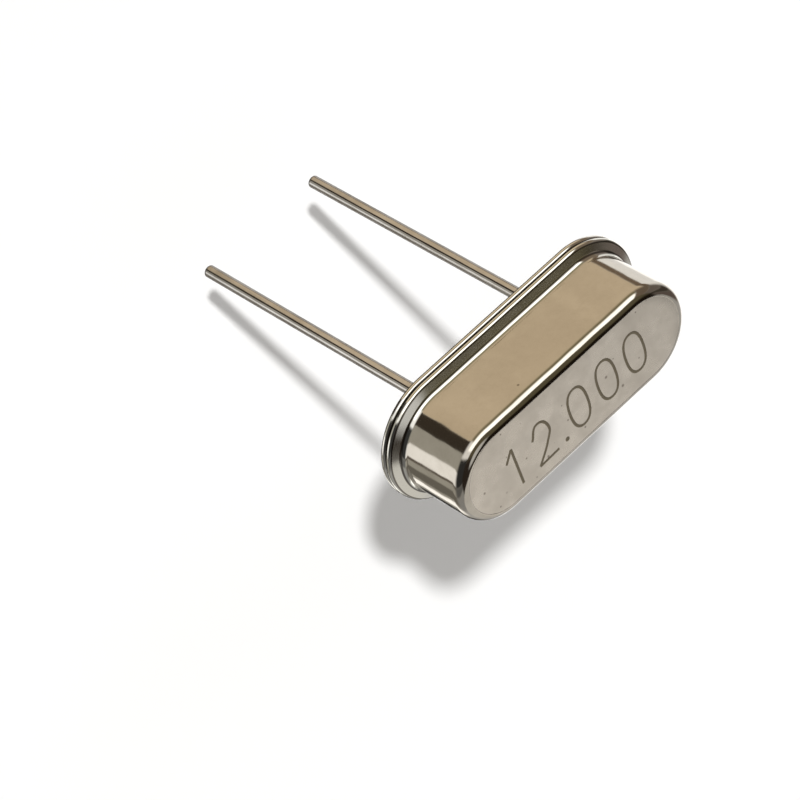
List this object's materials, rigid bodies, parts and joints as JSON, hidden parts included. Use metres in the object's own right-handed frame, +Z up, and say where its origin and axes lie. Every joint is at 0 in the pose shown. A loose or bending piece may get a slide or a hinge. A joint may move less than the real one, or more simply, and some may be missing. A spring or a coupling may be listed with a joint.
{
  "type": "crystal oscillator",
  "caption": "Two-lead quartz crystal unit in a low oval metal can with a welded flange, the timing element that sets an oscillator's frequency.",
  "frame": {"origin": "centre of the seating face, the flat underside of the base, midway between the two leads", "axes": "+Z up through the cap, +X along the can from the left lead to the right lead, +Y across the can; the leads run along -Z"},
  "size_m": [0.011, 0.0046, 0.0149],
  "materials": {
    "can_nickel": "satin nickel plating",
    "base_nickel": "satin nickel plating",
    "seal_glass": "dark glossy glass",
    "lead_wire": "bright plated wire",
    "clip_spring": "bare spring strip",
    "quartz": "fine-lapped quartz",
    "silver_film": "evaporated silver",
    "silver_paste": "silver-filled adhesive"
  },
  "bodies": {
    "root": {"can": "can_nickel", "base": "base_nickel", "glass_seal_left": "seal_glass", "glass_seal_right": "seal_glass", "lead_left": "lead_wire", "lead_right": "lead_wire", "clip_left": "clip_spring", "clip_right": "clip_spring", "quartz_blank": "quartz", "electrode_upper": "silver_film", "electrode_lower": "silver_film", "adhesive_left": "silver_paste", "adhesive_right": "silver_paste"}
  },
  "joints": []
}
